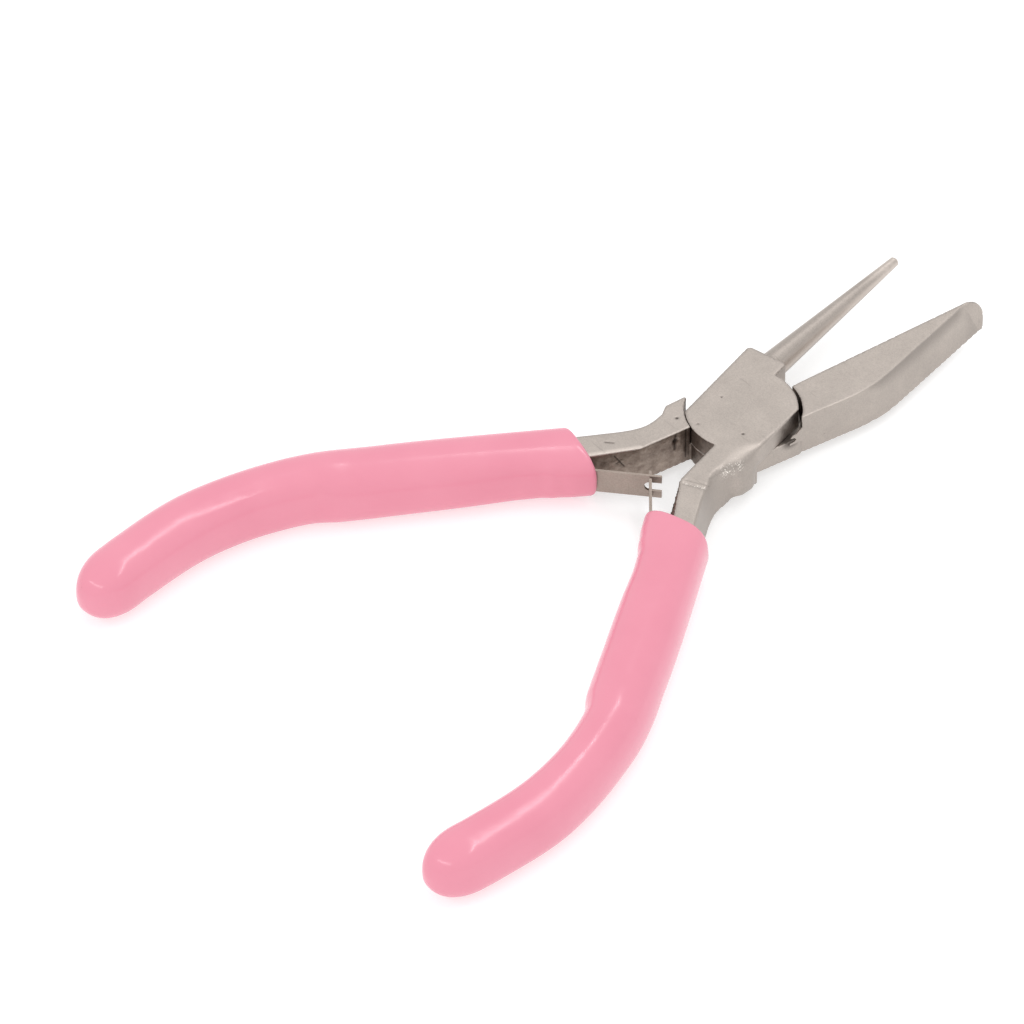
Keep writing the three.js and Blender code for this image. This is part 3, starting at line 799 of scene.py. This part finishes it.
def add(tree, kind, inputs=None, **settings):
    """A node with its settings, and its inputs set or linked."""
    node = tree.nodes.new(kind)
    for key, value in settings.items():
        setattr(node, key, value)
    fill(tree, node, inputs or {})
    return node


def fill(tree, node, inputs):
    for socket, value in inputs.items():
        if isinstance(value, bpy.types.NodeSocket):
            tree.links.new(value, node.inputs[socket])
        else:
            node.inputs[socket].default_value = value


def new_material(name):
    material = bpy.data.materials.new(name)
    material.use_nodes = True
    return material, material.node_tree, material.node_tree.nodes["Principled BSDF"]


def object_coordinates(tree):
    return add(tree, "ShaderNodeTexCoord").outputs["Object"]


def ramp(tree, value, low, high, start=(0, 0, 0, 1), end=WHITE):
    """Colour from start at low to end at high."""
    node = add(tree, "ShaderNodeValToRGB", {"Fac": value})
    node.color_ramp.elements[0].position = low
    node.color_ramp.elements[0].color = start
    node.color_ramp.elements[1].position = high
    node.color_ramp.elements[1].color = end
    return node.outputs["Color"]


def mixed(tree, factor, a, b, blend="MIX"):
    """Colour a turned into b by the factor; the numbers are the node's colour sockets."""
    node = add(tree, "ShaderNodeMix", data_type="RGBA", blend_type=blend)
    fill(tree, node, {0: factor, 6: a, 7: b})
    return node.outputs[2]


def noise_value(tree, where, scale, detail, roughness=0.5):
    return add(tree, "ShaderNodeTexNoise", {
        "Vector": where, "Scale": scale, "Detail": detail, "Roughness": roughness}).outputs["Fac"]


def spread(tree, value, low, high, to_low, to_high):
    """The value's range low to high, laid out from to_low to to_high."""
    return add(tree, "ShaderNodeMapRange", {
        "Value": value, "From Min": low, "From Max": high,
        "To Min": to_low, "To Max": to_high}).outputs[0]


def times(tree, a, b):
    return add(tree, "ShaderNodeMath", {0: a, 1: b}, operation="MULTIPLY").outputs[0]


def bump(tree, height, strength, distance, under=None, invert=False):
    inputs = {"Height": height, "Strength": strength, "Distance": distance}
    if under is not None:
        inputs["Normal"] = under
    return add(tree, "ShaderNodeBump", inputs, invert=invert).outputs[0]


def vinyl(name):
    """Glossy dipped vinyl: faint clouding, a few dark specks and shallow waves."""
    material, tree, shader = new_material(name)
    where = object_coordinates(tree)
    cloud = noise_value(tree, where, 110, 4)
    base = ramp(tree, cloud, 0.3, 0.7, VINYL_DEEP, VINYL_PALE)
    specks = specks_mask(tree, where, 300, 0.05, 0.9)
    base = mixed(tree, specks, base, VINYL_SPECK)
    tree.links.new(base, shader.inputs["Base Color"])
    smudge = noise_value(tree, where, 260, 5, 0.65)
    tree.links.new(spread(tree, smudge, 0.3, 0.7, 0.13, 0.22), shader.inputs["Roughness"])
    soft = bump(tree, noise_value(tree, where, 170, 2), 0.16, 0.0004)
    skin = bump(tree, noise_value(tree, where, 1500, 3), 0.06, 0.00004, soft)
    pits = bump(tree, specks, 0.5, 0.0001, skin, invert=True)
    tree.links.new(pits, shader.inputs["Normal"])
    shader.inputs["IOR"].default_value = 1.5
    shader.inputs["Specular IOR Level"].default_value = 0.36
    return material


def specks_mask(tree, where, scale, radius, share):
    """Sparse round spots: one in each lucky cell of a Voronoi pattern."""
    cells = add(tree, "ShaderNodeTexVoronoi", {"Vector": where, "Scale": scale})
    spot = spread(tree, cells.outputs["Distance"], radius * 0.5, radius, 1, 0)
    luck = add(tree, "ShaderNodeSeparateColor", {"Color": cells.outputs["Color"]})
    lucky = add(tree, "ShaderNodeMath", {0: luck.outputs[0], 1: share}, operation="GREATER_THAN")
    return times(tree, spot, lucky.outputs[0])


def scratches_mask(tree, where, turn, scale, threshold):
    """Fine straight scratches running across the given direction, in degrees."""
    slant = add(tree, "ShaderNodeMapping", {
        "Vector": where, "Rotation": (0, 0, math.radians(turn)), "Scale": (260, 4200, 260)})
    lines = noise_value(tree, slant.outputs[0], scale, 1)
    return ramp(tree, lines, threshold, threshold + 0.06)


def attribute(tree, name):
    return add(tree, "ShaderNodeAttribute", attribute_name=name).outputs["Fac"]


def steel(name, tone, roughness):
    """Bead-blasted steel with specks and scratches, painted highlights along edges, painted
    glints, and painted shade on the dark unfinished faces and darker sides.
    """
    material, tree, shader = new_material(name)
    where = object_coordinates(tree)
    cloud = noise_value(tree, where, 230, 6, 0.6)
    base = ramp(tree, cloud, 0.3, 0.7, scaled(tone, 0.93), scaled(tone, 1.05))
    grain = noise_value(tree, where, 5200, 2, 0.7)
    speckle = ramp(tree, grain, 0.3, 0.7, scaled(WHITE, 0.86), scaled(WHITE, 1.1))
    base = mixed(tree, 1, base, speckle, "MULTIPLY")
    scratches = scratches_mask(tree, where, 35, 1.0, 0.72)
    base = mixed(tree, scratches, base, scaled(tone, 0.84))
    specks = specks_mask(tree, where, 420, 0.09, 0.95)
    base = mixed(tree, specks, base, scaled(tone, 0.4))
    # Painted shade: the mask is mixed into a darker tone
    base = mixed(tree, attribute(tree, "shade"), base, scaled(tone, 0.42))
    # Painted shade: the rough unfinished faces between the parts are painted dark
    stain = noise_value(tree, where, 900, 8, 0.75)
    raw_shade_tone = ramp(tree, stain, 0.32, 0.68, RAW_SHADE_DARK, RAW_SHADE_PALE)
    base = mixed(tree, attribute(tree, "raw_shaded"), base, raw_shade_tone)
    # Painted highlights: the mask is mixed into a brighter tone
    base = mixed(tree, attribute(tree, "painted_highlight"), base, scaled(tone, 1.5))
    # Painted glints in the glint patches
    glints = ramp(tree, noise_value(tree, where, 5600, 2), 0.57, 0.64)
    base = mixed(tree, times(tree, attribute(tree, "glint_patches"), glints), base, GLINT)
    # Dark pits and scores, and painted shade beside the joint and in the crevice at the burr
    base = mixed(tree, attribute(tree, "marks_and_shade"), base, MARKS_AND_SHADE)
    tree.links.new(base, shader.inputs["Base Color"])
    rough = spread(tree, grain, 0.3, 0.7, roughness - 0.05, roughness + 0.08)
    tree.links.new(rough, shader.inputs["Roughness"])
    blasted = bump(tree, grain, 0.35, 0.00004)
    cut = bump(tree, scratches, 0.4, 0.00003, blasted, invert=True)
    tree.links.new(cut, shader.inputs["Normal"])
    shader.inputs["Metallic"].default_value = 1
    return material


def scaled(color, factor):
    return (*(c * factor for c in color[:3]), 1)


def wear(obj, material):
    """Gives the object this one material."""
    obj.data.materials.clear()
    obj.data.materials.append(material)


# ---- Stage ----

def camera():
    data = bpy.data.cameras.new("camera")
    data.lens = CAMERA_LENS
    data.sensor_width = SENSOR_WIDTH
    data.clip_start, data.clip_end = 0.05, 20
    made = bpy.data.objects.new("camera", data)
    made.location = Vector(CAMERA_AT) * MM
    made.rotation_mode = "QUATERNION"
    made.rotation_quaternion = Vector(CAMERA_AIM).to_track_quat("-Z", "Y")
    bpy.context.scene.collection.objects.link(made)
    bpy.context.scene.camera = made


def strip_light(name, at, along, power):
    """A long narrow lamp that faces the tool, its long side as near to along as it can be."""
    data = bpy.data.lights.new(name, "AREA")
    data.shape = "RECTANGLE"
    data.size, data.size_y = STRIP_SIZE
    data.energy = power
    made = bpy.data.objects.new(name, data)
    back = (Vector(at) - Vector(STRIP_AIM)).normalized()
    up = back.cross(Vector(along)).normalized()
    side = up.cross(back)
    turn = Matrix((side, up, back)).transposed()
    made.matrix_world = Matrix.Translation(at) @ turn.to_4x4()
    bpy.context.scene.collection.objects.link(made)


def floor(height):
    half = FLOOR_HALF_SIZE
    corners = [(half * x, half * y, height) for x, y in ((-1, -1), (1, -1), (1, 1), (-1, 1))]
    mesh = bpy.data.meshes.new("floor")
    mesh.from_pydata(corners, [], [(0, 1, 2, 3)])
    made = bpy.data.objects.new("floor", mesh)
    bpy.context.scene.collection.objects.link(made)
    material, _, shader = new_material("floor_paper")
    shader.inputs["Base Color"].default_value = PAPER
    shader.inputs["Roughness"].default_value = 0.9
    shader.inputs["Emission Color"].default_value = WHITE
    shader.inputs["Emission Strength"].default_value = FLOOR_GLOW
    made.data.materials.append(material)
    made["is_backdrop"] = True


def world():
    made = bpy.data.worlds.new("studio")
    made.use_nodes = True
    background = made.node_tree.nodes["Background"]
    background.inputs["Color"].default_value = WHITE
    background.inputs["Strength"].default_value = WORLD_STRENGTH
    bpy.context.scene.world = made


# ---- Scene ----

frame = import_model()
nodes = frame["nodes"]
cad_low, cad_high = (list(v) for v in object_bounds())

camera()
world()
for strip in STRIPS:
    strip_light(*strip)
floor(cad_low[2])
bpy.context.scene.view_settings.view_transform = "Standard"

lever_steel = steel("lever_steel", STEEL, 0.42)
spring_steel = steel("spring_steel", SPRING_STEEL, 0.36)

for side, body in (("flat", "flat_jaw_half"), ("round", "round_jaw_half")):
    grip = grip_mesh(side + "_side_grip_skin", side == "round")
    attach(grip, body)
    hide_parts(side + "_side_grip")
    wear(grip, vinyl(side + "_vinyl"))

    lever = bare_copy(nodes[side + "_jaw_lever"], side + "_jaw_lever_finish")
    faces, sharp, convex = guides(lever)
    remeshed(lever, faces, sharp)
    if side == "round":
        soften_shoulder(lever)
    else:
        add_burr(lever)
    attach(lever, body)
    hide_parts(side + "_jaw_lever")
    finish_lever(lever, side, convex)
    wear(lever, lever_steel)

rivet = rivet_mesh("pivot_rivet_finish")
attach(rivet, "flat_jaw_half")
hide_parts("pivot_rivet")
wear(rivet, lever_steel)

for name in ("fork_spring_blade", "fork_spring_foot", "fork_spring_rivet",
             "tongue_spring_blade", "tongue_spring_foot", "tongue_spring_rivet"):
    wear(nodes[name], spring_steel)
